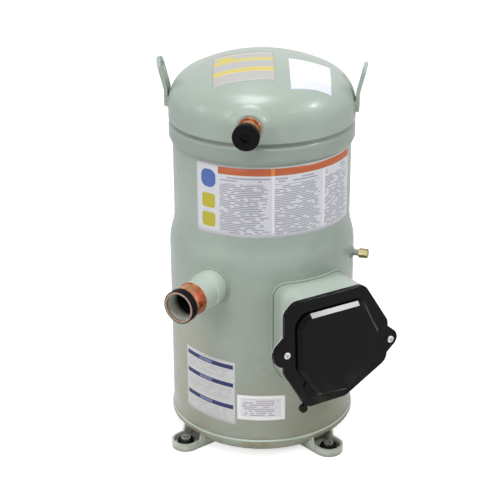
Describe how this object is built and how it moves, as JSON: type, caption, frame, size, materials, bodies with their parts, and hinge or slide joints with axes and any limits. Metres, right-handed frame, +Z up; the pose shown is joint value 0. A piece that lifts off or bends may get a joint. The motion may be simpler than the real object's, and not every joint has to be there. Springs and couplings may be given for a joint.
{
  "type": "scroll compressor",
  "caption": "Upright hermetic scroll compressor: domed steel shell with motor and scroll pump inside, side ports, terminal box, lifting lugs and bushed feet.",
  "frame": {"origin": "on the compressor's vertical axis at floor level, the centre of the square of mounting holes", "axes": "+Z up along the shaft; X and Y along the sides of the mounting square; the discharge port and suction port are on the -Y side"},
  "size_m": [0.3142, 0.3167, 0.5158],
  "materials": {
    "painted_steel": "semi-gloss grey-green paint",
    "copper_tube": "bare copper tube, heat-tinted",
    "black_rubber": "matte moulded rubber",
    "zinc_steel": "zinc plated",
    "brass": "machined",
    "black_cover": "gloss moulding",
    "moulded_block": "moulded",
    "plain_steel": "plain pressed or turned steel",
    "pin_glass": "fused glass bead",
    "lead_sleeve": "sleeved lead",
    "laminations": "stacked laminations",
    "winding_wire": "enamelled copper wire",
    "cast_aluminium": "cast",
    "counterweight_brass": "cast and turned",
    "shaft_steel": "ground",
    "bearing_bronze": "bored",
    "cast_iron": "machined casting",
    "ring_aluminium": "machined",
    "seal_iron": "turned",
    "magnet": "sintered"
  },
  "bodies": {
    "casing": {"bottom_cap": "painted_steel", "cable_grommet": "black_rubber", "cover_gasket": "black_rubber", "discharge_stub": "copper_tube", "discharge_valve_guard": "plain_steel", "fixed_scroll": "cast_iron", "foot_front_left": "painted_steel", "foot_front_right": "painted_steel", "foot_rear_left": "painted_steel", "foot_rear_right": "painted_steel", "ground_screw": "zinc_steel", "lifting_lug_left": "painted_steel", "lifting_lug_right": "painted_steel", "lower_bearing": "bearing_bronze", "lower_bearing_bracket": "plain_steel", "main_bearing": "bearing_bronze", "main_bearing_housing": "cast_iron", "main_shell": "painted_steel", "motor_leads": "lead_sleeve", "motor_protector": "plain_steel", "mount_grommets": "black_rubber", "mount_sleeves": "zinc_steel", "scroll_bolts": "plain_steel", "separator_plate": "plain_steel", "service_valve_body": "painted_steel", "stator_core": "laminations", "stator_winding": "winding_wire", "suction_baffle": "plain_steel", "suction_band": "black_rubber", "suction_fitting": "painted_steel", "suction_stub": "copper_tube", "sump_magnet": "magnet", "terminal_block": "moulded_block", "terminal_box": "painted_steel", "terminal_glass": "pin_glass", "terminal_nuts": "zinc_steel", "terminal_pins": "plain_steel", "terminal_plate": "plain_steel", "thrust_plate": "plain_steel", "thrust_washer": "plain_steel", "top_cap": "painted_steel"},
    "crank": {"crankshaft": "shaft_steel", "rotor_core": "laminations", "rotor_cage": "cast_aluminium", "upper_counterweight": "counterweight_brass", "lower_counterweight": "counterweight_brass", "drive_bush": "bearing_bronze", "oil_pickup": "plain_steel"},
    "orbiter": {"orbiting_scroll": "cast_iron", "orbiting_bearing": "bearing_bronze"},
    "anti_rotation_ring": {"oldham_ring": "ring_aluminium"},
    "top_seal": {"floating_seal": "seal_iron"},
    "check_valve": {"discharge_valve_disc": "plain_steel"},
    "cover": {"terminal_cover": "black_cover"},
    "screws": {"cover_screws": "zinc_steel"},
    "plug": {"discharge_plug": "black_rubber"},
    "valve_cap": {"service_valve_cap": "brass"},
    "valve_core": {"service_valve_core": "brass"}
  },
  "joints": [
    {"name": "crank_spin", "type": "hinge", "parent": "casing", "child": "crank", "pos_m": [0, 0, 0.2], "axis": [0, 0, 1], "continuous": true},
    {"name": "orbit_spin", "type": "hinge", "parent": "crank", "child": "orbiter", "pos_m": [0.0073, 0, 0.335], "axis": [0, 0, 1], "continuous": true},
    {"name": "oldham_slide", "type": "slide", "parent": "casing", "child": "anti_rotation_ring", "axis": [0, 1, 0], "range_m": [-0.0073, 0.0073]},
    {"name": "seal_float", "type": "slide", "parent": "casing", "child": "top_seal", "axis": [0, 0, 1], "range_m": [0, 0.00095]},
    {"name": "check_valve_lift", "type": "slide", "parent": "casing", "child": "check_valve", "axis": [0, 0, 1], "range_m": [0, 0.003]},
    {"name": "cover_off", "type": "slide", "parent": "casing", "child": "cover", "axis": [0.5878, -0.809, 0], "range_m": [0, 0.05]},
    {"name": "cover_screws_out", "type": "slide", "parent": "cover", "child": "screws", "axis": [0.5878, -0.809, 0], "range_m": [0, 0.012]},
    {"name": "discharge_plug_off", "type": "slide", "parent": "casing", "child": "plug", "axis": [-0.0523, -0.9986, 0], "range_m": [0, 0.03]},
    {"name": "service_valve_cap_off", "type": "slide", "parent": "casing", "child": "valve_cap", "axis": [0.9744, -0.225, 0], "range_m": [0, 0.02]},
    {"name": "service_valve_core_press", "type": "slide", "parent": "casing", "child": "valve_core", "axis": [-0.9744, 0.225, 0], "range_m": [0, 0.0015], "stiffness_N_per_m": 600}
  ],
  "couplings": [
    {"joint": "orbit_spin", "follows": "crank_spin", "ratio": -1}
  ]
}
